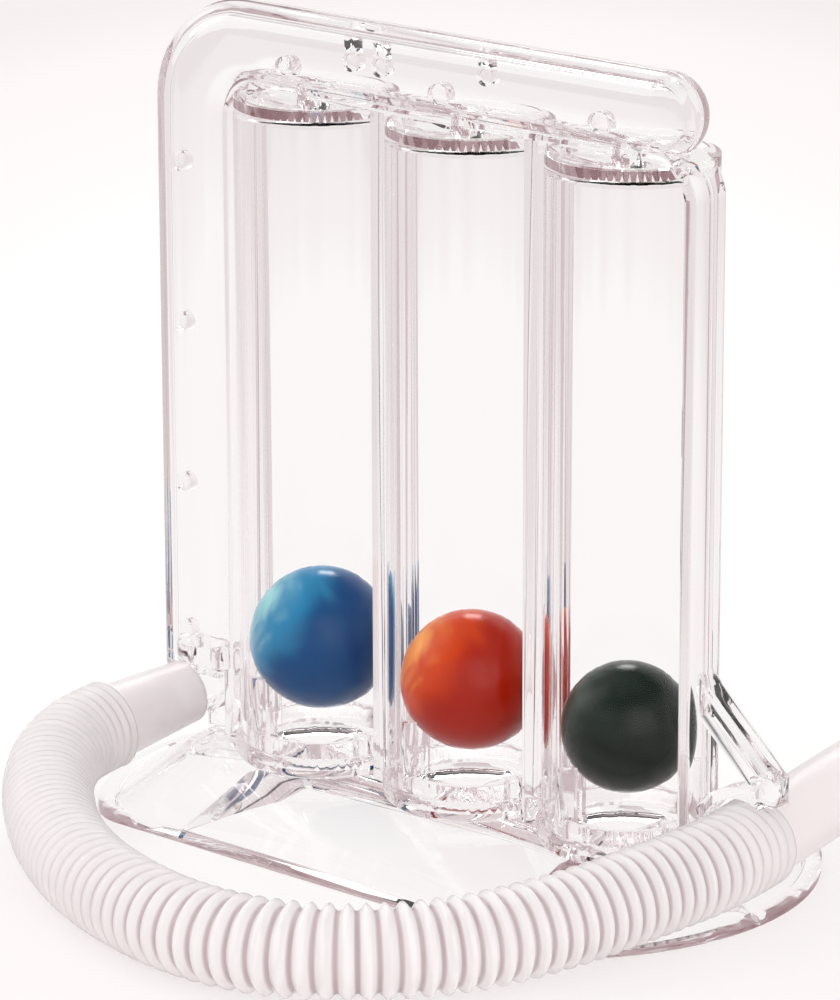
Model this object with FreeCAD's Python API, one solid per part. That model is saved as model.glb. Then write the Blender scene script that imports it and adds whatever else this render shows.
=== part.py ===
import FreeCAD, Part
import os
from math import acos, cos, degrees, pi, sqrt, tan

# Incentive spirometer with three balls in clear columns, in millimetres.
# The origin is on the table under the middle of the foot, +X runs along the row of
# columns, +Y to the back and +Z up.

# Columns and balls
COLUMN_PITCH = 36.8
COLUMN_SHIFT = 4.0
BORE_RADIUS = 14.0
TUBE_WALL = 1.5
TUBE_ABOVE_DECK = 2.0
COLUMN_HEIGHT = 121.7
CEILING_THICKNESS = 1.5
BALL_RADII = {"blue": 13.5, "orange": 13.0, "green": 12.0}
BALL_ABOVE_DECK = 9.95
RUNNING_GAP = 0.3

# Housing: a frame of thin deep walls round the columns
FRAME_DEPTH = 9.4
SIDE_WALL = 2.2
PARTITION_WALL = 3.5
MULLION_WALL = 2.2
MULLION_SHIFTS = [-0.4, -1.2]
FRAME_TOP_WALL = 2.0
CEILING_TO_FRAME = 2.1
FRAME_CORNER = 8.5
TUBE_TO_PARTITION = 2.2
TUBE_TO_SIDE = -0.4
WEB_THICKNESS = 2.4
EDGE_ROUND = 0.7
SEAM_RISE = 0.3
SEAM_WIDTH = 1.2

# Air duct: up the left side and along the top
DUCT_DEPTH = 12.0
DUCT_CHANNEL = 13.8
DUCT_WALL = 2.3
DUCT_PLATE = 1.5
DUCT_BORE_HEIGHT = 10.7
DUCT_TOP_WALL = 2.4
DUCT_CORNER = 20.0
DUCT_END_X = 55.3
DUCT_BOTTOM = 21.4
DUCT_EDGE_ROUND = 4.6
DUCT_END_FLAT = 0.02
BORE_EDGE_ROUND = 3.0
PORT_RADIUS = 2.9
PORT_NECK_RADIUS = 3.9

# Short locating pins moulded on the parting plane in the duct: place and height. The
# small ones hang from the duct's top wall.
PIN_RADIUS = 2.3
SMALL_PIN_RADIUS = 1.8
PIN_LENGTH = 2.4
PIN_STEM = 2.4
MAIN_PIN_OFFSET = -6.6
MAIN_PIN_RISE = 2.1
SMALL_PINS = [(-23.3, 5.5), (-16.4, 5.4), (8.4, 7.2)]
WALL_PIN_OFFSET = 1.2
WALL_PIN_HEIGHTS = [118.3, 87.2, 55.7, 26.4]

# Foot: raised deck, sloping skirt and rim
FOOT_LENGTH = 145.0
FOOT_WIDTH = 74.0
FOOT_END_RADIUS = 50.0
FOOT_CORNER = 12.0
RIM_HEIGHT = 2.0
RIM_FLANGE = 2.6
DECK_HEIGHT = 8.2
DECK_LENGTH = 119.0
DECK_WIDTH = 35.0
DECK_END_RADIUS = 30.0
DECK_CORNER = 6.0
FOOT_WALL = 1.5
FOOT_RIB = 1.2
FOOT_RIB_X = 37.8
LIP_OVERLAP = 0.2

# Seats that close the columns
SEAT_WALL = 0.8
SEAT_CLEARANCE = 0.1
SEAT_HEIGHT = 4.3
SEAT_FLOOR = 1.2
SEAT_LEDGE = 3.0
SEAT_ROUND = 2.0
SEAT_RIB = 1.0
SEAT_RIB_OVERLAP = 0.5
SLEEVE_HEIGHT = 6.6
SLEEVE_WALL = 1.5
PRONG_WIDTH = 2.0
PRONG_REACH = 1.2
PRONG_ANGLES = [40.0, 176.8, 250.0]
TAB_HEIGHT = 7.2
TAB_WIDTH = 2.7
TAB_ANGLE = -10.8

# Hose outlet under the duct
COLLAR_HEIGHT = 1.4
PLUG_HEIGHT = 3.1
PLUG_GAP = 0.15
OUTLET_TO_PARTITION = 7.4
OUTLET_HEIGHT = 16.6
OUTLET_RADIUS = 5.5
OUTLET_BORE = 3.6
SPIGOT_RADIUS = 5.0
SPIGOT_LENGTH = 17.0
OUTLET_WEB = 2.2

# Hose, its cuff and the mouthpiece
CUFF_START = 6.6
CUFF_REAR_RADIUS = 6.1
CUFF_FRONT_RADIUS = 7.3
CUFF_BORE = 5.0
HOSE_RADIUS = 8.5
HOSE_BORE = 6.3
MOUTH_RADIUS = 7.4
MOUTH_BORE = 6.0
MOUTH_LENGTH = 65.0
HOSE_POINTS = [
    (-63.5, -25.5, 14.2),
    (-64.113, -32.942, 13.5),
    (-62.5, -40.2, 12.2),
    (-58.7, -47.2, 10.8),
    (-51.3, -55.4, 9.5),
    (-37.5, -67.0, 8.7),
    (-18.7, -78.0, 8.7),
    (2.0, -84.2, 8.7),
    (18.0, -85.0, 8.7),
    (32.5, -81.0, 8.7),
    (44.5, -72.0, 8.7),
    (54.0, -58.5, 8.9),
    (60.8, -42.0, 9.9),
    (66.0, -24.5, 11.9),
    (69.4, -8.4, 13.3),
    (67.9, 3.5, 13.7),
]

# Clip on the right wall, over the hose's end
CLIP_CLEARANCE = 0.6
CLIP_WALL = 2.0
CLIP_WIDTH = 4.5
CLIP_BOX_OFFSET = 2.2
CLIP_BOX_LENGTH = 5.2
CLIP_BOX_RISE = 9.0
CLIP_BOX_HEIGHT = 4.8
STRUT_BOTTOM = 36.4
STRUT_HEIGHT = 7.6
STRUT_FLANGE = 1.2
STRUT_WEB = 1.3

# Cutting shapes run this far past the surfaces they cut
OVERCUT = 1.0

# Worked out from the sizes above
COLUMNS = [COLUMN_SHIFT + step * COLUMN_PITCH for step in (-1, 0, 1)]
COLUMN_NAMES = ["left", "middle", "right"]
TUBE_RADIUS = BORE_RADIUS + TUBE_WALL
TUBE_BOTTOM = DECK_HEIGHT + TUBE_ABOVE_DECK
BALL_BOTTOM = DECK_HEIGHT + BALL_ABOVE_DECK
CEILING_UNDERSIDE = TUBE_BOTTOM + COLUMN_HEIGHT
CEILING_TOP = CEILING_UNDERSIDE + CEILING_THICKNESS
FRAME_HALF = FRAME_DEPTH / 2
DUCT_HALF = DUCT_DEPTH / 2
FRAME_INNER_TOP = CEILING_TOP + CEILING_TO_FRAME
FRAME_TOP = FRAME_INNER_TOP + FRAME_TOP_WALL
PARTITION_INNER = COLUMNS[0] - TUBE_RADIUS - TUBE_TO_PARTITION
PARTITION_OUTER = PARTITION_INNER - PARTITION_WALL
RIGHT_INNER = COLUMNS[2] + TUBE_RADIUS + TUBE_TO_SIDE
RIGHT_OUTER = RIGHT_INNER + SIDE_WALL
DUCT_LEFT = PARTITION_OUTER - DUCT_CHANNEL - DUCT_WALL
OUTLET_CENTRE = (PARTITION_OUTER - OUTLET_TO_PARTITION, 0.0, OUTLET_HEIGHT)
DUCT_TOP = FRAME_TOP + DUCT_BORE_HEIGHT + DUCT_TOP_WALL
SEAT_OUTER = TUBE_RADIUS + SEAT_CLEARANCE + SEAT_WALL


def point(x, y, z):
    return FreeCAD.Vector(x, y, z)


def box(x0, x1, y0, y1, z0, z1):
    return Part.makeBox(x1 - x0, y1 - y0, z1 - z0, point(x0, y0, z0))


def upright(radius, x, y, z0, z1):
    return Part.makeCylinder(radius, z1 - z0, point(x, y, z0))


def cross_pin(radius, x, z, half_length):
    return Part.makeCylinder(radius, 2 * half_length, point(x, -half_length, z), point(0, 1, 0))


def plate_from(corners, front, back, inset=0):
    """A closed outline in the X-Z plane, drawn in by inset and filled from front to back."""
    loop = [point(x, front, z) for x, z in corners]
    face = Part.Face(Part.makePolygon(loop + loop[:1]))
    if inset:
        face = face.makeOffset2D(-inset)
    return face.extrude(point(0, back - front, 0))


def round_upright_corners(solid, radii):
    """Rounds edges that run along Y; radii gives (x, z, radius) for each."""
    for x, z, radius in radii:
        found = []
        for edge in solid.Edges:
            ends = [vertex.Point for vertex in edge.Vertexes]
            if len(ends) == 2 and all(abs(end.x - x) + abs(end.z - z) < 1e-4 for end in ends):
                found.append(edge)
        solid = solid.makeFillet(radius, found)
    return solid


def round_uprights(solid, radius):
    """Rounds the four edges of a box that run along Z."""
    return solid.makeFillet(radius, [edge for edge in solid.Edges
                                     if edge.BoundBox.XLength + edge.BoundBox.YLength < 1e-6])


def round_outline(solid, depth, radius):
    """Rounds the edges that lie in the planes Y = -depth and Y = +depth."""
    found = []
    for edge in solid.Edges:
        low = edge.BoundBox
        flat = low.YMax - low.YMin < 1e-6
        if flat and abs(abs(low.YMin) - depth) < 1e-6:
            found.append(edge)
    return solid.makeFillet(radius, found)


def frame_plate(half, grow=0):
    """The frame's outline as a filled plate; grow widens its free right side."""
    right = RIGHT_OUTER + grow
    plate = plate_from([(PARTITION_OUTER, DECK_HEIGHT), (right, DECK_HEIGHT),
                        (right, FRAME_TOP), (PARTITION_OUTER, FRAME_TOP)], -half, half)
    return round_upright_corners(plate, [(right, FRAME_TOP, FRAME_CORNER + grow),
                                         (PARTITION_OUTER, FRAME_TOP, FRAME_CORNER)])


def frame_walls():
    """Deep thin walls: left partition, two mullions, right wall and top wall."""
    outer = round_outline(frame_plate(FRAME_HALF), FRAME_HALF, EDGE_ROUND)
    outer = outer.fuse(frame_plate(SEAM_WIDTH / 2, SEAM_RISE))
    inner_corner = FRAME_CORNER - SIDE_WALL
    below = DECK_HEIGHT - OVERCUT
    inner = plate_from([(PARTITION_INNER, below), (RIGHT_INNER, below),
                        (RIGHT_INNER, FRAME_INNER_TOP), (PARTITION_INNER, FRAME_INNER_TOP)],
                       -FRAME_HALF - OVERCUT, FRAME_HALF + OVERCUT)
    inner = round_upright_corners(inner, [(RIGHT_INNER, FRAME_INNER_TOP, inner_corner),
                                          (PARTITION_INNER, FRAME_INNER_TOP, inner_corner)])
    web = inner.common(box(PARTITION_OUTER, RIGHT_OUTER, -WEB_THICKNESS / 2, WEB_THICKNESS / 2,
                           DECK_HEIGHT, FRAME_TOP))
    walls = outer.cut(inner).fuse(web)
    for left, right, shift in zip(COLUMNS, COLUMNS[1:], MULLION_SHIFTS):
        middle = (left + right) / 2 + shift
        half = MULLION_WALL / 2
        walls = walls.fuse(box(middle - half, middle + half, -FRAME_HALF, FRAME_HALF,
                               DECK_HEIGHT, FRAME_INNER_TOP))
    return walls


def duct_plate(half, bottom, grow=0):
    """The duct's outline as a filled plate; grow widens its free left, top and right sides."""
    left = DUCT_LEFT - grow
    right = DUCT_END_X + grow
    top = DUCT_TOP + grow
    end_radius = (top - FRAME_INNER_TOP - DUCT_END_FLAT) / 2
    plate = plate_from([(left, bottom), (PARTITION_INNER, bottom),
                        (PARTITION_INNER, FRAME_INNER_TOP), (right, FRAME_INNER_TOP),
                        (right, top), (left, top)], -half, half)
    return round_upright_corners(plate, [(left, top, DUCT_CORNER + grow),
                                         (PARTITION_INNER, FRAME_INNER_TOP,
                                          FRAME_CORNER - SIDE_WALL),
                                         (right, FRAME_INNER_TOP, end_radius),
                                         (right, top, end_radius)])


def duct_outside():
    """Rounded body of the duct and the raised weld seam along its free sides."""
    body = round_outline(duct_plate(DUCT_HALF, 0), DUCT_HALF, DUCT_EDGE_ROUND)
    body = body.fuse(duct_plate(SEAM_WIDTH / 2, 0, SEAM_RISE))
    return body.cut(box(2 * DUCT_LEFT, 0, -DUCT_DEPTH, DUCT_DEPTH, -OVERCUT, DUCT_BOTTOM))


def duct_inside():
    """Air space of the duct, with rounded edges and open at its lower end."""
    left = DUCT_LEFT + DUCT_WALL
    right = DUCT_END_X - DUCT_WALL
    top = DUCT_TOP - DUCT_TOP_WALL
    half = DUCT_HALF - DUCT_PLATE
    end_radius = (top - FRAME_TOP - DUCT_END_FLAT) / 2
    corners = [(left, 0), (PARTITION_OUTER, 0), (PARTITION_OUTER, FRAME_TOP),
               (right, FRAME_TOP), (right, top), (left, top)]
    solid = plate_from(corners, -half, half)
    solid = round_upright_corners(solid, [(left, top, DUCT_CORNER - DUCT_WALL),
                                          (PARTITION_OUTER, FRAME_TOP, FRAME_CORNER),
                                          (right, FRAME_TOP, end_radius),
                                          (right, top, end_radius)])
    return round_outline(solid, half, BORE_EDGE_ROUND)


def duct_pins():
    """Short pins on the parting plane that locate the two shells."""
    reach = PIN_LENGTH / 2
    pins = []
    for column in COLUMNS:
        pins.append(cross_pin(PIN_RADIUS, column + MAIN_PIN_OFFSET, FRAME_TOP + MAIN_PIN_RISE, reach))
    for x, rise in SMALL_PINS:
        pins.append(cross_pin(SMALL_PIN_RADIUS, x, FRAME_TOP + rise, reach))
        pins.append(box(x - PIN_STEM / 2, x + PIN_STEM / 2, -reach, reach,
                        FRAME_TOP + rise, DUCT_TOP - DUCT_TOP_WALL / 2))
    for height in WALL_PIN_HEIGHTS:
        pins.append(cross_pin(SMALL_PIN_RADIUS, DUCT_LEFT + DUCT_WALL + WALL_PIN_OFFSET,
                              height, reach))
    return pins


def housing():
    """Both halves of the clear housing as one solid, before the parting cut."""
    body = frame_walls().fuse(duct_outside())
    for x in COLUMNS:
        body = body.cut(upright(SEAT_OUTER + SEAT_CLEARANCE, x, 0, DECK_HEIGHT - OVERCUT,
                                DECK_HEIGHT + SEAT_HEIGHT + SEAT_CLEARANCE))
        tube = upright(TUBE_RADIUS, x, 0, TUBE_BOTTOM, FRAME_INNER_TOP)
        rim_hollow = upright(BORE_RADIUS, x, 0, CEILING_TOP, FRAME_INNER_TOP + OVERCUT)
        body = body.fuse(tube.cut(rim_hollow))
        body = body.fuse(upright(PORT_NECK_RADIUS, x, 0, CEILING_UNDERSIDE, FRAME_TOP))
    body = body.cut(duct_inside())
    for x in COLUMNS:
        body = body.cut(upright(BORE_RADIUS, x, 0, TUBE_BOTTOM - OVERCUT, CEILING_UNDERSIDE))
        body = body.cut(upright(PORT_RADIUS, x, 0, CEILING_UNDERSIDE - OVERCUT,
                                FRAME_TOP + OVERCUT))
    return body.fuse(duct_pins())


def foot_outline(length, width, end_radius, corner, z):
    """A strip with round ends; corner rounds the four places where arc meets side."""
    side = width / 2
    centre = length / 2 - end_radius
    cut_x = centre + sqrt(end_radius ** 2 - side ** 2)
    right_arc = Part.Arc(point(cut_x, -side, z), point(length / 2, 0, z), point(cut_x, side, z))
    left_arc = Part.Arc(point(-cut_x, side, z), point(-length / 2, 0, z), point(-cut_x, -side, z))
    front = Part.LineSegment(point(-cut_x, -side, z), point(cut_x, -side, z))
    back = Part.LineSegment(point(cut_x, side, z), point(-cut_x, side, z))
    edges = [front.toShape(), right_arc.toShape(), back.toShape(), left_arc.toShape()]
    prism = Part.Face(Part.Wire(edges)).extrude(point(0, 0, 1))
    uprights = [edge for edge in prism.Edges if edge.BoundBox.ZLength > 1e-3]
    prism = prism.makeFillet(corner, uprights)
    for face in prism.Faces:
        if face.BoundBox.ZLength < 1e-6 and abs(face.BoundBox.ZMin - z) < 1e-6:
            return face.OuterWire
    return None


def loft_between(low, high):
    return Part.makeLoft([low, high], True, True)


def base_plate():
    """Hollow clear foot: upright rim with a narrow flange, sloping skirt and raised deck."""
    def rim_outline(shrink, z):
        return foot_outline(FOOT_LENGTH - 2 * shrink, FOOT_WIDTH - 2 * shrink,
                            FOOT_END_RADIUS - shrink, FOOT_CORNER - shrink, z)

    def deck_outline(shrink, z):
        return foot_outline(DECK_LENGTH - 2 * shrink, DECK_WIDTH - 2 * shrink,
                            DECK_END_RADIUS - shrink, DECK_CORNER - shrink, z)

    rim = loft_between(rim_outline(0, 0), rim_outline(0, RIM_HEIGHT))
    skirt = loft_between(rim_outline(RIM_FLANGE, RIM_HEIGHT), deck_outline(0, DECK_HEIGHT))
    inset = RIM_FLANGE + FOOT_WALL / 2
    lip = RIM_HEIGHT - FOOT_WALL + LIP_OVERLAP
    hollow = loft_between(rim_outline(inset, 0), rim_outline(inset, lip))
    hollow = hollow.fuse(loft_between(rim_outline(inset, lip),
                                      deck_outline(FOOT_WALL, DECK_HEIGHT - FOOT_WALL)))
    shell = rim.fuse(skirt).cut(hollow)
    half = FOOT_RIB / 2
    ribs = [box(-FOOT_LENGTH / 2, FOOT_LENGTH / 2, -half, half, 0, DECK_HEIGHT)]
    for x in (-FOOT_RIB_X, FOOT_RIB_X):
        ribs.append(box(x - half, x + half, -FOOT_WIDTH / 2, FOOT_WIDTH / 2, 0, DECK_HEIGHT))
    return shell.fuse([rib.common(hollow) for rib in ribs]).removeSplitter()


def seat_block(inner, outer, width, bottom, top, angle):
    """Upright block between two radii about the seat's axis, turned to its angle."""
    block = box(0, outer, -width / 2, width / 2, bottom, top)
    block = block.common(upright(outer, 0, 0, bottom, top)).cut(upright(inner, 0, 0, bottom, top))
    block.rotate(point(0, 0, 0), point(0, 0, 1), angle)
    return block


def ball_seat(column_x, ball_radius):
    """Cap with a sleeve inside the tube, an open ribbed floor and prongs that hold the ball."""
    seat_top = DECK_HEIGHT + SEAT_HEIGHT
    ring = upright(SEAT_OUTER, 0, 0, DECK_HEIGHT, seat_top)
    outer_low = [edge for edge in ring.Edges
                 if edge.BoundBox.ZLength < 1e-6 and abs(edge.BoundBox.ZMin - DECK_HEIGHT) < 1e-6]
    ring = ring.makeFillet(SEAT_ROUND, outer_low)
    ring = ring.cut(upright(TUBE_RADIUS + SEAT_CLEARANCE, 0, 0, TUBE_BOTTOM, seat_top + OVERCUT))
    outer = BORE_RADIUS - SEAT_CLEARANCE
    inner = outer - SLEEVE_WALL
    sleeve_top = DECK_HEIGHT + SLEEVE_HEIGHT
    ring = ring.fuse(upright(outer, 0, 0, TUBE_BOTTOM, sleeve_top))
    ring = ring.cut(upright(inner, 0, 0, TUBE_BOTTOM, sleeve_top + OVERCUT))
    opening = BORE_RADIUS - SEAT_LEDGE
    ring = ring.cut(upright(opening, 0, 0, DECK_HEIGHT - OVERCUT, TUBE_BOTTOM + OVERCUT))
    reach = opening + SEAT_RIB_OVERLAP
    half = SEAT_RIB / 2
    floor_top = DECK_HEIGHT + SEAT_FLOOR
    parts = [box(-reach, reach, -half, half, DECK_HEIGHT, floor_top),
             box(-half, half, -reach, reach, DECK_HEIGHT, floor_top),
             seat_block(opening, outer, TAB_WIDTH, floor_top, DECK_HEIGHT + TAB_HEIGHT, TAB_ANGLE)]
    prong_inner = ball_radius - PRONG_REACH
    drop = sqrt((ball_radius + RUNNING_GAP) ** 2 - prong_inner ** 2)
    prong_top = BALL_BOTTOM + ball_radius - drop
    for angle in PRONG_ANGLES:
        parts.append(seat_block(prong_inner, outer, PRONG_WIDTH, TUBE_BOTTOM, prong_top, angle))
    seat = ring.fuse(parts).removeSplitter()
    seat.translate(point(column_x, 0, 0))
    return seat


def ball(column_x, radius):
    return Part.makeSphere(radius, point(column_x, 0, BALL_BOTTOM + radius))


def unit(vector):
    return FreeCAD.Vector(vector).multiply(1 / vector.Length)


def outlet_direction():
    return unit(point(*HOSE_POINTS[0]).sub(point(*OUTLET_CENTRE)))


def port_elbow():
    """Clear outlet: plug and collar at the duct's end, ball-shaped turn and spigot."""
    centre = point(*OUTLET_CENTRE)
    along = outlet_direction()
    collar_bottom = DUCT_BOTTOM - COLLAR_HEIGHT
    collar = round_uprights(box(DUCT_LEFT, PARTITION_INNER, -DUCT_HALF, DUCT_HALF,
                                collar_bottom, DUCT_BOTTOM), DUCT_EDGE_ROUND)
    solid = collar.common(box(DUCT_LEFT, PARTITION_OUTER, -DUCT_HALF, DUCT_HALF,
                              collar_bottom, DUCT_BOTTOM))
    plug_y = DUCT_HALF - DUCT_PLATE - PLUG_GAP
    plug = box(DUCT_LEFT + DUCT_WALL + PLUG_GAP, PARTITION_OUTER - PLUG_GAP,
               -plug_y, plug_y, DUCT_BOTTOM, DUCT_BOTTOM + PLUG_HEIGHT)
    solid = solid.fuse(round_uprights(plug, BORE_EDGE_ROUND - PLUG_GAP))
    solid = solid.fuse(upright(OUTLET_RADIUS, centre.x, centre.y, centre.z, DUCT_BOTTOM))
    solid = solid.fuse(Part.makeSphere(OUTLET_RADIUS, centre))
    solid = solid.fuse(Part.makeCylinder(SPIGOT_RADIUS, SPIGOT_LENGTH, centre, along))
    solid = solid.fuse(box(centre.x, PARTITION_OUTER, -OUTLET_WEB / 2, OUTLET_WEB / 2,
                           DECK_HEIGHT, collar_bottom))
    solid = solid.cut(upright(OUTLET_BORE, centre.x, centre.y, centre.z,
                              DUCT_BOTTOM + PLUG_HEIGHT + OVERCUT))
    solid = solid.cut(Part.makeSphere(OUTLET_BORE, centre))
    return solid.cut(Part.makeCylinder(OUTLET_BORE, SPIGOT_LENGTH + OVERCUT, centre, along))


def hose_cuff():
    """Smooth tapered end of the hose, pushed over the spigot."""
    centre = point(*OUTLET_CENTRE)
    along = outlet_direction()
    length = point(*HOSE_POINTS[0]).sub(centre).Length - CUFF_START
    start = centre.add(FreeCAD.Vector(along).multiply(CUFF_START))
    outside = Part.makeCone(CUFF_REAR_RADIUS, CUFF_FRONT_RADIUS, length, start, along)
    return outside.cut(Part.makeCylinder(CUFF_BORE, length, start, along))


def route_edges(points):
    """Straight runs joined by tangent arcs, as large as the shorter run allows."""
    corners = [point(*place) for place in points]
    edges = []
    radii = []
    last = corners[0]
    for before, corner, after in zip(corners, corners[1:], corners[2:]):
        back = unit(before.sub(corner))
        ahead = unit(after.sub(corner))
        turn = pi - acos(max(-1.0, min(1.0, back.dot(ahead))))
        trim = 0.45 * min(before.sub(corner).Length, after.sub(corner).Length)
        radius = trim / tan(turn / 2)
        start = corner.add(FreeCAD.Vector(back).multiply(trim))
        end = corner.add(FreeCAD.Vector(ahead).multiply(trim))
        to_centre = unit(back.add(ahead))
        middle_gap = radius / cos(turn / 2) - radius
        middle = corner.add(FreeCAD.Vector(to_centre).multiply(middle_gap))
        edges.append(Part.LineSegment(last, start).toShape())
        edges.append(Part.Arc(start, middle, end).toShape())
        radii.append((round(radius, 1), round(degrees(turn), 1)))
        last = end
    edges.append(Part.LineSegment(last, corners[-1]).toShape())
    return edges, radii


def hose_tube():
    """Breathing hose as a plain tube of its outer diameter along its route."""
    edges, radii = route_edges(HOSE_POINTS)
    path = Part.Wire(edges)
    start = point(*HOSE_POINTS[0])
    along = unit(point(*HOSE_POINTS[1]).sub(start))
    solids = []
    for radius in (HOSE_RADIUS, HOSE_BORE):
        ring = Part.Wire([Part.makeCircle(radius, start, along)])
        solids.append(path.makePipeShell([ring], True, False))
    tube = solids[0].cut(solids[1])
    section = pi * (HOSE_RADIUS ** 2 - HOSE_BORE ** 2)
    print("hose length", round(path.Length, 1), "radii and turns", radii)
    print("hose volume", round(tube.Volume), "section times length", round(section * path.Length))
    return tube


def mouthpiece():
    """Straight smooth tube from the hose's end."""
    end = point(*HOSE_POINTS[-1])
    along = unit(end.sub(point(*HOSE_POINTS[-2])))
    solid = Part.makeCylinder(MOUTH_RADIUS, MOUTH_LENGTH, end, along)
    tip = [edge for edge in solid.Edges
           if edge.BoundBox.Center.sub(end.add(FreeCAD.Vector(along).multiply(MOUTH_LENGTH))).Length < 0.5]
    solid = solid.makeFillet(0.5 * (MOUTH_RADIUS - MOUTH_BORE), tip)
    return solid.cut(Part.makeCylinder(MOUTH_BORE, MOUTH_LENGTH, end, along))


def tube_bracket():
    """Clip arch from the right wall over the hose's end, end block and diagonal strut."""
    half = CLIP_WIDTH / 2
    hose = point(*HOSE_POINTS[-1])
    clear = HOSE_RADIUS + CLIP_CLEARANCE
    arch = cross_pin(clear + CLIP_WALL, hose.x, hose.z, half)
    arch = arch.cut(cross_pin(clear, hose.x, hose.z, half + OVERCUT))
    box_left = hose.x + CLIP_BOX_OFFSET
    box_right = box_left + CLIP_BOX_LENGTH
    box_bottom = hose.z + CLIP_BOX_RISE
    box_top = box_bottom + CLIP_BOX_HEIGHT
    arch = arch.common(box(RIGHT_OUTER, box_left + CLIP_WALL, -half, half,
                           hose.z + CLIP_WALL, DUCT_TOP))
    block = box(box_left, box_right, -half, half, box_bottom, box_top)
    outline = [(RIGHT_OUTER, STRUT_BOTTOM), (box_left, box_top - CLIP_WALL),
               (box_right, box_top), (RIGHT_OUTER, STRUT_BOTTOM + STRUT_HEIGHT)]
    strut = plate_from(outline, -half, half)
    for front, back in ((-half, -STRUT_WEB / 2), (STRUT_WEB / 2, half)):
        strut = strut.cut(plate_from(outline, front, back, STRUT_FLANGE))
    return arch.fuse([block, strut]).cut(frame_plate(SEAM_WIDTH / 2, SEAM_RISE)).removeSplitter()


def main():
    os.makedirs("parts", exist_ok=True)
    whole = housing()
    far = 300
    pieces = {
        "front_shell": whole.cut(box(-far, far, 0, far, -far, far)),
        "rear_shell": whole.cut(box(-far, far, -far, 0, -far, far)),
        "base_plate": base_plate(),
        "port_elbow": port_elbow(),
        "hose_cuff": hose_cuff(),
        "hose_tube": hose_tube(),
        "mouthpiece": mouthpiece(),
        "tube_bracket": tube_bracket(),
    }
    for x, side, (colour, radius) in zip(COLUMNS, COLUMN_NAMES, BALL_RADII.items()):
        pieces["ball_seat_" + side] = ball_seat(x, radius)
        pieces["ball_" + colour] = ball(x, radius)
    for name, shape in pieces.items():
        shape.exportStep("parts/" + name + ".step")
        size = shape.BoundBox
        print(name, "solids", len(shape.Solids), "valid", shape.isValid(),
              "volume", round(shape.Volume), "X", round(size.XMin, 1), round(size.XMax, 1),
              "Y", round(size.YMin, 1), round(size.YMax, 1), "Z", round(size.ZMin, 2),
              round(size.ZMax, 1))


main()
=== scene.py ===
import math

import bmesh
import bpy
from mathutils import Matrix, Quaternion, Vector


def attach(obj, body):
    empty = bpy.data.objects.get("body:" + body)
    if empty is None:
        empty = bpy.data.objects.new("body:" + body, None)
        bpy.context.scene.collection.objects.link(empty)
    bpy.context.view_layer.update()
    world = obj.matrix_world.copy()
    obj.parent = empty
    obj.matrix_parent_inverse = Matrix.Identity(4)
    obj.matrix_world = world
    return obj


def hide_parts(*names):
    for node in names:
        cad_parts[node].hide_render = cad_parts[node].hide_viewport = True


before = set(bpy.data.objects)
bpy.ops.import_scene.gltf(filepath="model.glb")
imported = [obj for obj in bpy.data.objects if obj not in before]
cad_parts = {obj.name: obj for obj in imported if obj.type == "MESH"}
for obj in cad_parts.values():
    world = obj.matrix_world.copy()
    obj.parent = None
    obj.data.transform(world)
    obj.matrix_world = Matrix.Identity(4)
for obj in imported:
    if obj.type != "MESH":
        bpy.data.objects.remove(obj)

scene = bpy.context.scene
bpy.context.view_layer.update()

# Camera
# A long lens from the front right and a little above, as in the product picture.
lens = bpy.data.cameras.new("camera")
lens.sensor_width = 36
lens.lens = 191.62
lens.shift_x = 0.0032
lens.shift_y = -0.0093
lens.clip_start = 0.01
lens.clip_end = 20
camera = bpy.data.objects.new("camera", lens)
camera.location = (0.60344, -0.70980, 0.3405)
sight = Vector((0.00563, -0.01704, 0.07116)) - camera.location
camera.rotation_mode = "QUATERNION"
camera.rotation_quaternion = sight.to_track_quat("-Z", "Y") @ Quaternion((0, 0, 1), math.radians(-0.16))
scene.collection.objects.link(camera)
scene.camera = camera
scene.view_settings.view_transform = "Standard"
scene.cycles.max_bounces = 24
scene.cycles.transmission_bounces = 24
scene.cycles.glossy_bounces = 24
scene.cycles.transparent_max_bounces = 40
scene.cycles.diffuse_bounces = 4

# Breathing hose
# Soft polythene hose, blown in a corrugated mould: round ridges with narrow grooves
# between them. It is pushed into the cuff and lies loosely round the front of the foot.
route_points = [
    (-63.5, -25.5, 14.2), (-64.113, -32.942, 13.5), (-62.5, -40.2, 12.2), (-58.7, -47.2, 10.8),
    (-51.3, -55.4, 9.5), (-37.5, -67.0, 8.7), (-18.7, -78.0, 8.7), (2.0, -84.2, 8.7),
    (18.0, -85.0, 8.7), (32.5, -81.0, 8.7), (44.5, -72.0, 8.7), (54.0, -58.5, 8.9),
    (60.8, -42.0, 9.9), (66.0, -24.5, 11.9), (69.4, -8.4, 13.3), (67.9, 3.5, 13.7)]
route = bpy.data.curves.new("hose_route", "CURVE")
route.dimensions = "3D"
spline = route.splines.new("NURBS")
spline.points.add(len(route_points) - 1)
for knot, (x, y, z) in zip(spline.points, route_points):
    knot.co = (x / 1000, y / 1000, z / 1000, 1)
spline.order_u = 3
spline.use_endpoint_u = True
spline.resolution_u = 24
route_object = bpy.data.objects.new("hose_route", route)
scene.collection.objects.link(route_object)
bpy.context.view_layer.update()
depsgraph = bpy.context.evaluated_depsgraph_get()
route_line = bpy.data.meshes.new_from_object(route_object.evaluated_get(depsgraph))
hose_path = [tuple(v.co) for v in route_line.vertices]
hose_length = sum((Vector(a) - Vector(b)).length for a, b in zip(hose_path, hose_path[1:]))

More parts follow.
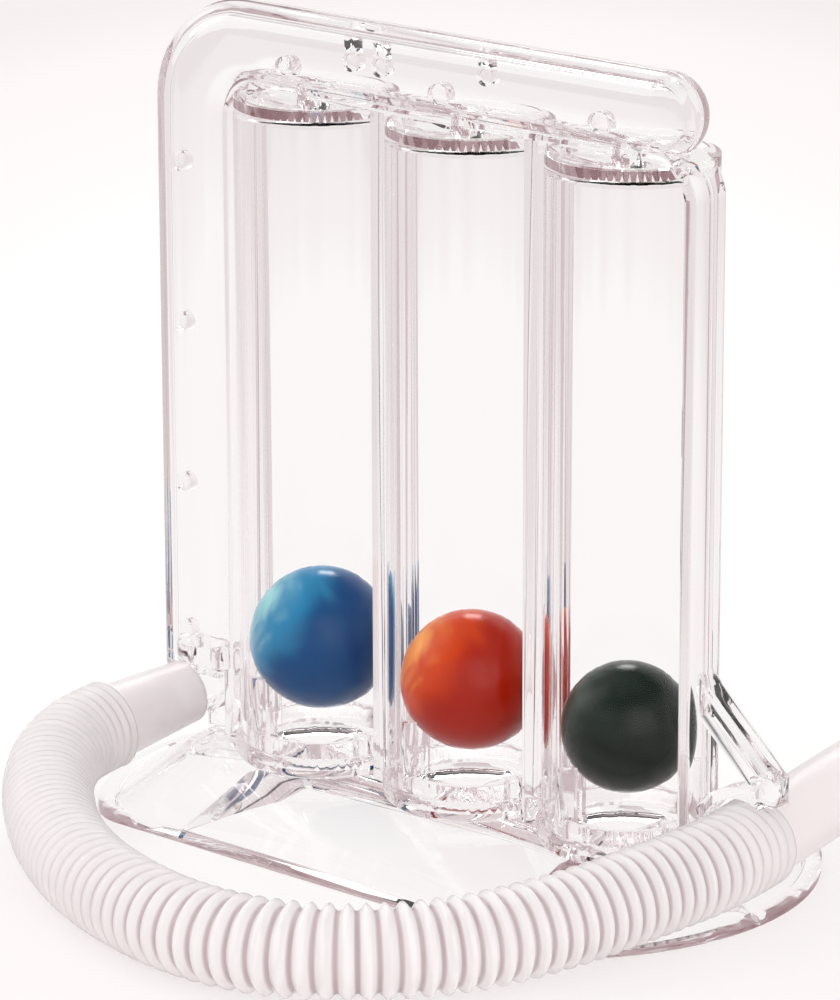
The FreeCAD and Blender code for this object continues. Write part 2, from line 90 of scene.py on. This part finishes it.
# The hose is drawn out along the front and pressed together at both ends: place, ridge pitch
pitch_along = [(0.0, 0.00195), (0.12, 0.0022), (0.25, 0.0026), (0.38, 0.0031), (0.5, 0.0034),
               (0.7, 0.0032), (0.85, 0.0028), (1.0, 0.0022)]
ridge_count = 0.0
ridge_share = [(0.0, 0.0)]
for (start, pitch), (end, next_pitch) in zip(pitch_along, pitch_along[1:]):
    ridge_count += (end - start) * hose_length * 2 / (pitch + next_pitch)
    ridge_share.append((end, ridge_count))
ridge_share = [(place, count / ridge_count) for place, count in ridge_share]

ridged = bpy.data.node_groups.new("corrugated hose", "GeometryNodeTree")
ridged.is_modifier = True
plug = {}
for label, kind, value in [
        ("Geometry", "NodeSocketGeometry", None), ("Route", "NodeSocketObject", None),
        ("Ridges", "NodeSocketInt", 74), ("Rings", "NodeSocketInt", 860),
        ("Crest radius", "NodeSocketFloat", 0.0085), ("Groove depth", "NodeSocketFloat", 0.0014),
        ("Crest breadth", "NodeSocketFloat", 1.0), ("Wall", "NodeSocketFloat", 0.0005),
        ("Segments", "NodeSocketInt", 48), ("Material", "NodeSocketMaterial", None)]:
    socket = ridged.interface.new_socket(label, in_out="INPUT", socket_type=kind)
    if value is not None:
        socket.default_value = value
    plug[label] = socket.identifier
ridged.interface.new_socket("Geometry", in_out="OUTPUT", socket_type="NodeSocketGeometry")
nodes, links = ridged.nodes, ridged.links
given = nodes.new("NodeGroupInput")
result = nodes.new("NodeGroupOutput")


def combine(tree, operation, first, second=None):
    """The output of a Math node that works on two numbers or sockets."""
    node = tree.nodes.new("ShaderNodeMath")
    node.operation = operation
    for place, value in enumerate((first, second)):
        if value is None:
            continue
        if isinstance(value, (int, float)):
            node.inputs[place].default_value = value
        else:
            tree.links.new(value, node.inputs[place])
    return node.outputs[0]


route_info = nodes.new("GeometryNodeObjectInfo")
links.new(given.outputs["Route"], route_info.inputs["Object"])
resample = nodes.new("GeometryNodeResampleCurve")
links.new(route_info.outputs["Geometry"], resample.inputs["Curve"])
links.new(given.outputs["Rings"], resample.inputs["Count"])
along = nodes.new("GeometryNodeSplineParameter")
stretch = nodes.new("ShaderNodeFloatCurve")
stretch_points = stretch.mapping.curves[0].points
for place, share in ridge_share[1:-1]:
    stretch_points.new(place, share)
stretch.mapping.update()
links.new(along.outputs["Factor"], stretch.inputs["Value"])
phase = combine(ridged, "FRACT", combine(ridged, "MULTIPLY", stretch.outputs[0], given.outputs["Ridges"]))
wave = combine(ridged, "COSINE", combine(ridged, "MULTIPLY", phase, 2 * math.pi))
swell = combine(ridged, "MULTIPLY", combine(ridged, "SUBTRACT", 1.0, wave), 0.5)
crest = combine(ridged, "POWER", combine(ridged, "MAXIMUM", swell, 0.0), given.outputs["Crest breadth"])
valley = combine(ridged, "MULTIPLY", combine(ridged, "SUBTRACT", 1.0, crest), given.outputs["Groove depth"])
outer_radius = combine(ridged, "SUBTRACT", given.outputs["Crest radius"], valley)
inner_radius = combine(ridged, "SUBTRACT", outer_radius, given.outputs["Wall"])
keep_crest = nodes.new("GeometryNodeStoreNamedAttribute")
keep_crest.data_type = "FLOAT"
keep_crest.domain = "POINT"
keep_crest.inputs["Name"].default_value = "crest"
links.new(resample.outputs["Curve"], keep_crest.inputs["Geometry"])
links.new(crest, keep_crest.inputs["Value"])
ring = nodes.new("GeometryNodeCurvePrimitiveCircle")
ring.inputs["Radius"].default_value = 1.0
links.new(given.outputs["Segments"], ring.inputs["Resolution"])
skins = []
for radius in (outer_radius, inner_radius):
    sweep = nodes.new("GeometryNodeCurveToMesh")
    links.new(keep_crest.outputs["Geometry"], sweep.inputs["Curve"])
    links.new(ring.outputs["Curve"], sweep.inputs["Profile Curve"])
    links.new(radius, sweep.inputs["Scale"])
    skins.append(sweep.outputs["Mesh"])
turn = nodes.new("GeometryNodeFlipFaces")
links.new(skins[1], turn.inputs["Mesh"])
both = nodes.new("GeometryNodeJoinGeometry")
links.new(skins[0], both.inputs["Geometry"])
links.new(turn.outputs["Mesh"], both.inputs["Geometry"])
real = nodes.new("GeometryNodeRealizeInstances")
links.new(both.outputs["Geometry"], real.inputs["Geometry"])
paint = nodes.new("GeometryNodeSetMaterial")
links.new(real.outputs["Geometry"], paint.inputs["Geometry"])
links.new(given.outputs["Material"], paint.inputs["Material"])
links.new(paint.outputs["Geometry"], result.inputs["Geometry"])


def through_lamps(material, surface, colour, share=1.0):
    """Lamps shine through the piece: its shadow rays meet a clear surface."""
    tree = material.node_tree
    path = tree.nodes.new("ShaderNodeLightPath")
    clear = tree.nodes.new("ShaderNodeBsdfTransparent")
    clear.inputs["Color"].default_value = (*colour, 1)
    mix = tree.nodes.new("ShaderNodeMixShader")
    if share < 1:
        factor = combine(tree, "MULTIPLY", path.outputs["Is Shadow Ray"], share)
    else:
        factor = path.outputs["Is Shadow Ray"]
    tree.links.new(factor, mix.inputs[0])
    tree.links.new(surface.outputs[0], mix.inputs[1])
    tree.links.new(clear.outputs[0], mix.inputs[2])
    tree.links.new(mix.outputs[0], tree.nodes["Material Output"].inputs["Surface"])


hose_material = bpy.data.materials.new("milky_hose")
hose_material.use_nodes = True
tree = hose_material.node_tree
soft = tree.nodes["Principled BSDF"]
# Painted shade: the base colour is pinkish grey down in the grooves and near white on the crests.
height = tree.nodes.new("ShaderNodeAttribute")
height.attribute_name = "crest"
shade = tree.nodes.new("ShaderNodeValToRGB")
shade.color_ramp.elements[0].position = 0.04
shade.color_ramp.elements[0].color = (0.66, 0.57, 0.58, 1)
shade.color_ramp.elements[1].position = 0.30
shade.color_ramp.elements[1].color = (0.995, 0.98, 0.98, 1)
tree.links.new(height.outputs["Fac"], shade.inputs["Fac"])
tree.links.new(shade.outputs["Color"], soft.inputs["Base Color"])
soft.inputs["Roughness"].default_value = 0.16
soft.inputs["IOR"].default_value = 1.25
soft.inputs["Transmission Weight"].default_value = 0.55
through_lamps(hose_material, soft, (0.98, 0.96, 0.96), 0.9)

hose_maker = bpy.data.objects.new("hose_maker", bpy.data.meshes.new("hose_maker"))
scene.collection.objects.link(hose_maker)
modifier = hose_maker.modifiers.new("corrugated hose", "NODES")
modifier.node_group = ridged
modifier[plug["Route"]] = route_object
modifier[plug["Ridges"]] = round(ridge_count)
modifier[plug["Material"]] = hose_material
bpy.context.view_layer.update()
depsgraph = bpy.context.evaluated_depsgraph_get()
hose_mesh = bpy.data.meshes.new_from_object(hose_maker.evaluated_get(depsgraph))
hose_maker.modifiers.clear()
bpy.data.objects.remove(hose_maker)
bpy.data.objects.remove(route_object)
# The outer and the inner skin are closed at both ends, a little more than a radius round each
end_reach = 0.012
form = bmesh.new()
form.from_mesh(hose_mesh)
rims = [e for e in form.edges if e.is_boundary]
for end in (hose_path[0], hose_path[-1]):
    near = [e for e in rims if (e.verts[0].co - Vector(end)).length < end_reach]
    bmesh.ops.bridge_loops(form, edges=near)
bmesh.ops.recalc_face_normals(form, faces=form.faces)
for face in form.faces:
    face.smooth = True
form.to_mesh(hose_mesh)
form.free()
hose = bpy.data.objects.new("corrugated_hose", hose_mesh)
scene.collection.objects.link(hose)
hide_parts("hose_tube")
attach(hose, "housing")

# Cuff and mouthpiece
# Smooth frosted sleeves of the same soft plastic: the cuff is pushed over the outlet, and
# the mouthpiece is the plain end of the hose.


def dressed(name, *solids, gap=0.000015, same_point=0.000001, seam_width=0.00004, sharp_turn=40):
    """The solids' surface as one clean skin, drawn in a hair so that touching faces part."""
    form = bmesh.new()
    for solid in solids:
        form.from_mesh(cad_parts[solid].data)
    bmesh.ops.remove_doubles(form, verts=form.verts, dist=same_point)
    if len(solids) > 1:
        weld = [f for f in form.faces if all(abs(v.co.y) < 2 * same_point for v in f.verts)]
        bmesh.ops.delete(form, geom=weld, context="FACES")
        rim = [v for v in form.verts if v.is_boundary]
        bmesh.ops.remove_doubles(form, verts=rim, dist=seam_width)
    form.normal_update()
    moves = [(v, v.normal * gap * min(v.calc_shell_factor(), 2.0)) for v in form.verts]
    for vert, move in moves:
        vert.co -= move
    for face in form.faces:
        face.smooth = True
    mesh = bpy.data.meshes.new(name)
    form.to_mesh(mesh)
    form.free()
    mesh.set_sharp_from_angle(angle=math.radians(sharp_turn))
    piece = bpy.data.objects.new(name, mesh)
    scene.collection.objects.link(piece)
    weighted = piece.modifiers.new("flat faces stay flat", "WEIGHTED_NORMAL")
    weighted.keep_sharp = True
    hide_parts(*solids)
    return piece


frosted = bpy.data.materials.new("frosted_soft_plastic")
frosted.use_nodes = True
soft = frosted.node_tree.nodes["Principled BSDF"]
soft.inputs["Base Color"].default_value = (0.97, 0.93, 0.93, 1)
soft.inputs["Roughness"].default_value = 0.3
soft.inputs["IOR"].default_value = 1.3
soft.inputs["Transmission Weight"].default_value = 0.5
through_lamps(frosted, soft, (0.97, 0.95, 0.95), 0.8)

cuff = dressed("frosted_hose_cuff", "hose_cuff")
cuff.data.materials.append(frosted)
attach(cuff, "housing")
mouth = dressed("frosted_mouthpiece_tube", "mouthpiece")
mouth.data.materials.append(frosted)
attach(mouth, "housing")

# Clear housing
# Two clear styrene half shells, moulded and welded on the middle plane, so they look like
# one body. Three columns, the frame round them and the air duct are all moulded in it.
clear = bpy.data.materials.new("clear_styrene")
clear.use_nodes = True
tree = clear.node_tree
glassy = tree.nodes["Principled BSDF"]
glassy.inputs["Base Color"].default_value = (0.998, 0.996, 0.996, 1)
glassy.inputs["Roughness"].default_value = 0.01
glassy.inputs["IOR"].default_value = 1.32
glassy.inputs["Specular Tint"].default_value = (0.3, 0.3, 0.3, 1)
glassy.inputs["Transmission Weight"].default_value = 1.0
through_lamps(clear, glassy, (0.97, 0.955, 0.958))
# A ray that runs on inside the walls past this many turns ends on a painted soft pinkish grey glow, in place
# of the light it would still carry
most_turns = 10.5
painted_glow = tree.nodes.new("ShaderNodeEmission")
painted_glow.inputs["Color"].default_value = (0.66, 0.56, 0.575, 1)
path = tree.nodes.new("ShaderNodeLightPath")
ending = tree.nodes.new("ShaderNodeMixShader")
surface_socket = tree.nodes["Material Output"].inputs["Surface"]
tree.links.new(combine(tree, "GREATER_THAN", path.outputs["Ray Depth"], most_turns), ending.inputs[0])
tree.links.new(surface_socket.links[0].from_socket, ending.inputs[1])
tree.links.new(painted_glow.outputs[0], ending.inputs[2])
tree.links.new(ending.outputs[0], surface_socket)
long_way = tree.nodes.new("ShaderNodeVolumeAbsorption")
long_way.inputs["Color"].default_value = (0.60, 0.44, 0.46, 1)
long_way.inputs["Density"].default_value = 15
tree.links.new(long_way.outputs[0], tree.nodes["Material Output"].inputs["Volume"])

housing = dressed("clear_welded_housing", "front_shell", "rear_shell")
housing.data.materials.append(clear)
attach(housing, "housing")

# Clear foot, seats, outlet and clip
# Clear mouldings of the same plastic. The seats close the columns from below and stand on
# the deck of the foot, and the outlet and the clip are cemented to the housing.
for name, solid, slot in [
        ("clear_foot_plate", "base_plate", "clear_foot"),
        ("clear_seat_left", "ball_seat_left", "clear_seat"),
        ("clear_seat_middle", "ball_seat_middle", "clear_seat"),
        ("clear_seat_right", "ball_seat_right", "clear_seat"),
        ("clear_hose_outlet", "port_elbow", "clear_housing"),
        ("clear_hose_clip", "tube_bracket", "clear_housing")]:
    piece = dressed(name, solid)
    piece.data.materials.append(clear)
    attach(piece, "housing")

# Balls
# Three loose balls of solid-coloured plastic. The colour is a little cloudy, with drifting streaks,
# and each ball is paler toward its lit side: painted light over its own deep colour.
dye_and_painted_light = bpy.data.node_groups.new("cloudy dye", "ShaderNodeTree")
for label, kind, value in [
        ("Centre", "NodeSocketVector", (0, 0, 0)), ("Radius", "NodeSocketFloat", 0.013),
        ("Painted light side", "NodeSocketVector", (-0.70, -0.42, 0.58)), ("Drift", "NodeSocketFloat", 0.9),
        ("Streaks", "NodeSocketFloat", 1.1), ("Deep", "NodeSocketColor", (0, 0, 0, 1)),
        ("Middle", "NodeSocketColor", (0.5, 0.5, 0.5, 1)), ("Pale", "NodeSocketColor", (1, 1, 1, 1))]:
    dye_and_painted_light.interface.new_socket(label, in_out="INPUT", socket_type=kind).default_value = value
dye_and_painted_light.interface.new_socket("Color", in_out="OUTPUT", socket_type="NodeSocketColor")
given = dye_and_painted_light.nodes.new("NodeGroupInput")
result = dye_and_painted_light.nodes.new("NodeGroupOutput")
place = dye_and_painted_light.nodes.new("ShaderNodeTexCoord")
from_centre = dye_and_painted_light.nodes.new("ShaderNodeVectorMath")
from_centre.operation = "SUBTRACT"
dye_and_painted_light.links.new(place.outputs["Object"], from_centre.inputs[0])
dye_and_painted_light.links.new(given.outputs["Centre"], from_centre.inputs[1])
outward = dye_and_painted_light.nodes.new("ShaderNodeVectorMath")
outward.operation = "SCALE"
dye_and_painted_light.links.new(from_centre.outputs["Vector"], outward.inputs[0])
dye_and_painted_light.links.new(combine(dye_and_painted_light, "DIVIDE", 1.0, given.outputs["Radius"]), outward.inputs["Scale"])
# Painted light: the more the surface turns toward the lit side, the paler it is painted.
toward_painted_light = dye_and_painted_light.nodes.new("ShaderNodeVectorMath")
toward_painted_light.operation = "DOT_PRODUCT"
dye_and_painted_light.links.new(outward.outputs["Vector"], toward_painted_light.inputs[0])
dye_and_painted_light.links.new(given.outputs["Painted light side"], toward_painted_light.inputs[1])
cloud = dye_and_painted_light.nodes.new("ShaderNodeTexNoise")
cloud.inputs["Detail"].default_value = 3
cloud.inputs["Distortion"].default_value = 1.2
dye_and_painted_light.links.new(outward.outputs["Vector"], cloud.inputs["Vector"])
dye_and_painted_light.links.new(given.outputs["Streaks"], cloud.inputs["Scale"])
drift = combine(dye_and_painted_light, "MULTIPLY", combine(dye_and_painted_light, "SUBTRACT", cloud.outputs["Fac"], 0.5), given.outputs["Drift"])
painted_light_paleness = combine(dye_and_painted_light, "ADD", toward_painted_light.outputs["Value"], drift)
colour = given.outputs["Deep"]
for start, end, label in ((0.10, 0.62, "Middle"), (0.62, 1.0, "Pale")):
    rise = dye_and_painted_light.nodes.new("ShaderNodeMapRange")
    rise.interpolation_type = "SMOOTHSTEP"
    rise.inputs["From Min"].default_value = start
    rise.inputs["From Max"].default_value = end
    dye_and_painted_light.links.new(painted_light_paleness, rise.inputs["Value"])
    blend = dye_and_painted_light.nodes.new("ShaderNodeMixRGB")
    dye_and_painted_light.links.new(rise.outputs["Result"], blend.inputs["Fac"])
    dye_and_painted_light.links.new(colour, blend.inputs["Color1"])
    dye_and_painted_light.links.new(given.outputs[label], blend.inputs["Color2"])
    colour = blend.outputs["Color"]
dye_and_painted_light.links.new(colour, result.inputs["Color"])

# Deep is each ball's own colour; middle and pale are painted light on the lit side.
for node, deep, middle, pale in [
        ("ball_blue", (0.006, 0.075, 0.24), (0.020, 0.24, 0.46), (0.30, 0.66, 0.70)),
        ("ball_orange", (0.44, 0.014, 0.002), (0.66, 0.055, 0.004), (0.95, 0.36, 0.06)),
        ("ball_green", (0.003, 0.009, 0.005), (0.006, 0.015, 0.010), (0.028, 0.048, 0.036))]:
    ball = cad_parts[node]
    skin = bpy.data.materials.new(node + "_skin")
    skin.use_nodes = True
    tree = skin.node_tree
    surface = tree.nodes["Principled BSDF"]
    dyed_and_painted_light = tree.nodes.new("ShaderNodeGroup")
    dyed_and_painted_light.node_tree = dye_and_painted_light
    dyed_and_painted_light.inputs["Centre"].default_value = sum((Vector(v) for v in ball.bound_box), Vector()) / 8
    dyed_and_painted_light.inputs["Radius"].default_value = ball.dimensions.z / 2
    for label, shade in (("Deep", deep), ("Middle", middle), ("Pale", pale)):
        dyed_and_painted_light.inputs[label].default_value = (*shade, 1)
    tree.links.new(dyed_and_painted_light.outputs["Color"], surface.inputs["Base Color"])
    surface.inputs["Roughness"].default_value = 0.2
    surface.inputs["Specular IOR Level"].default_value = 0.2
    surface.inputs["Subsurface Weight"].default_value = 0.25
    surface.inputs["Subsurface Radius"].default_value = (1.0, 1.0, 1.0)
    surface.inputs["Subsurface Scale"].default_value = 0.003
    ball.data.materials.clear()
    ball.data.materials.append(skin)

# Floor
# A nearly white sweep that also stands for the background, painted pinkish grey away from a
# bright pool round the object as painted shade. It keeps the soft shadows, and the camera and
# the clear plastic see it bright.
sweep_material = bpy.data.materials.new("pale_sweep")
sweep_material.use_nodes = True
tree = sweep_material.node_tree
paper = tree.nodes["Principled BSDF"]
paper.inputs["Roughness"].default_value = 0.9
paper.inputs["Specular IOR Level"].default_value = 0.1
place = tree.nodes.new("ShaderNodeTexCoord")
spread = tree.nodes.new("ShaderNodeMapping")
spread.vector_type = "TEXTURE"
spread.inputs["Location"].default_value = (-0.162, 0.190, 0)
spread.inputs["Rotation"].default_value = (0, 0, math.radians(130.4))
spread.inputs["Scale"].default_value = (0.8, 0.35, 1)
tree.links.new(place.outputs["Object"], spread.inputs["Vector"])
pool = tree.nodes.new("ShaderNodeTexGradient")
pool.gradient_type = "SPHERICAL"
tree.links.new(spread.outputs["Vector"], pool.inputs["Vector"])
# Painted shade: a pinkish grey vignette that darkens the sweep outward from a bright pool round the object.
painted_vignette = tree.nodes.new("ShaderNodeValToRGB")
painted_vignette.color_ramp.elements[0].position = 0.25
painted_vignette.color_ramp.elements[0].color = (0.85, 0.80, 0.80, 1)
painted_vignette.color_ramp.elements[1].position = 0.70
painted_vignette.color_ramp.elements[1].color = (0.99, 0.973, 0.965, 1)
for stop, colour in ((0.36, (0.91, 0.86, 0.86, 1)), (0.55, (0.94, 0.90, 0.895, 1))):
    painted_vignette.color_ramp.elements.new(stop).color = colour
tree.links.new(pool.outputs["Fac"], painted_vignette.inputs["Fac"])
tree.links.new(painted_vignette.outputs["Color"], paper.inputs["Base Color"])
path = tree.nodes.new("ShaderNodeLightPath")
mirrored = combine(tree, "MAXIMUM", path.outputs["Is Glossy Ray"], path.outputs["Is Transmission Ray"])
bright = tree.nodes.new("ShaderNodeEmission")
tree.links.new(painted_vignette.outputs["Color"], bright.inputs["Color"])
bright.inputs["Strength"].default_value = 1.0
share_seen_bright = 0.7
share = combine(tree, "MULTIPLY", path.outputs["Is Camera Ray"], share_seen_bright)
mix = tree.nodes.new("ShaderNodeMixShader")
tree.links.new(combine(tree, "MAXIMUM", mirrored, share), mix.inputs[0])
tree.links.new(paper.outputs[0], mix.inputs[1])
tree.links.new(bright.outputs[0], mix.inputs[2])
tree.links.new(mix.outputs[0], tree.nodes["Material Output"].inputs["Surface"])
bpy.ops.mesh.primitive_plane_add(size=6, location=(0, 0, 0))
floor = bpy.context.object
floor.name = "floor"
floor.data.materials.append(sweep_material)

# Light
# A pale tent all round with a darker opening overhead, a broad lamp high on the left, a
# softer one on the right and a small one behind.
tent = bpy.data.worlds.new("tent")
scene.world = tent
tent.use_nodes = True
tree = tent.node_tree
ground = tree.nodes["Background"]
place = tree.nodes.new("ShaderNodeTexCoord")
upward = tree.nodes.new("ShaderNodeVectorMath")
upward.operation = "DOT_PRODUCT"
upward.inputs[1].default_value = (0, 0, 1)
tree.links.new(place.outputs["Generated"], upward.inputs[0])
opening = tree.nodes.new("ShaderNodeMapRange")
opening.interpolation_type = "SMOOTHSTEP"
opening.inputs["From Min"].default_value = 0.55
opening.inputs["From Max"].default_value = 0.8
opening.inputs["To Min"].default_value = 0.95
opening.inputs["To Max"].default_value = 0.08
tree.links.new(upward.outputs["Value"], opening.inputs["Value"])
path = tree.nodes.new("ShaderNodeLightPath")
mirrored = combine(tree, "MAXIMUM", path.outputs["Is Glossy Ray"], path.outputs["Is Transmission Ray"])
tent_level = 0.92
even = combine(tree, "MULTIPLY", combine(tree, "SUBTRACT", 1.0, mirrored), tent_level)
level = combine(tree, "ADD", even, combine(tree, "MULTIPLY", mirrored, opening.outputs["Result"]))
ground.inputs["Color"].default_value = (1.0, 0.985, 0.985, 1)
tree.links.new(level, ground.inputs["Strength"])
for name, spot, target, size, power in [
        ("key", (-1.1, -0.3, 1.1), (0, 0, 0.06), 1.5, 9),
        ("fill", (1.2, -0.6, 0.8), (0, 0, 0.06), 1.4, 6),
        ("back", (-0.75, 0.95, 0.9), (0, 0, 0.06), 0.3, 2)]:
    lamp = bpy.data.lights.new(name, "AREA")
    lamp.shape = "SQUARE"
    lamp.size = size
    lamp.energy = power
    lamp_object = bpy.data.objects.new(name, lamp)
    lamp_object.location = spot
    lamp_object.rotation_mode = "QUATERNION"
    lamp_object.rotation_quaternion = (Vector(target) - Vector(spot)).to_track_quat("-Z", "Y")
    scene.collection.objects.link(lamp_object)

bpy.context.view_layer.update()
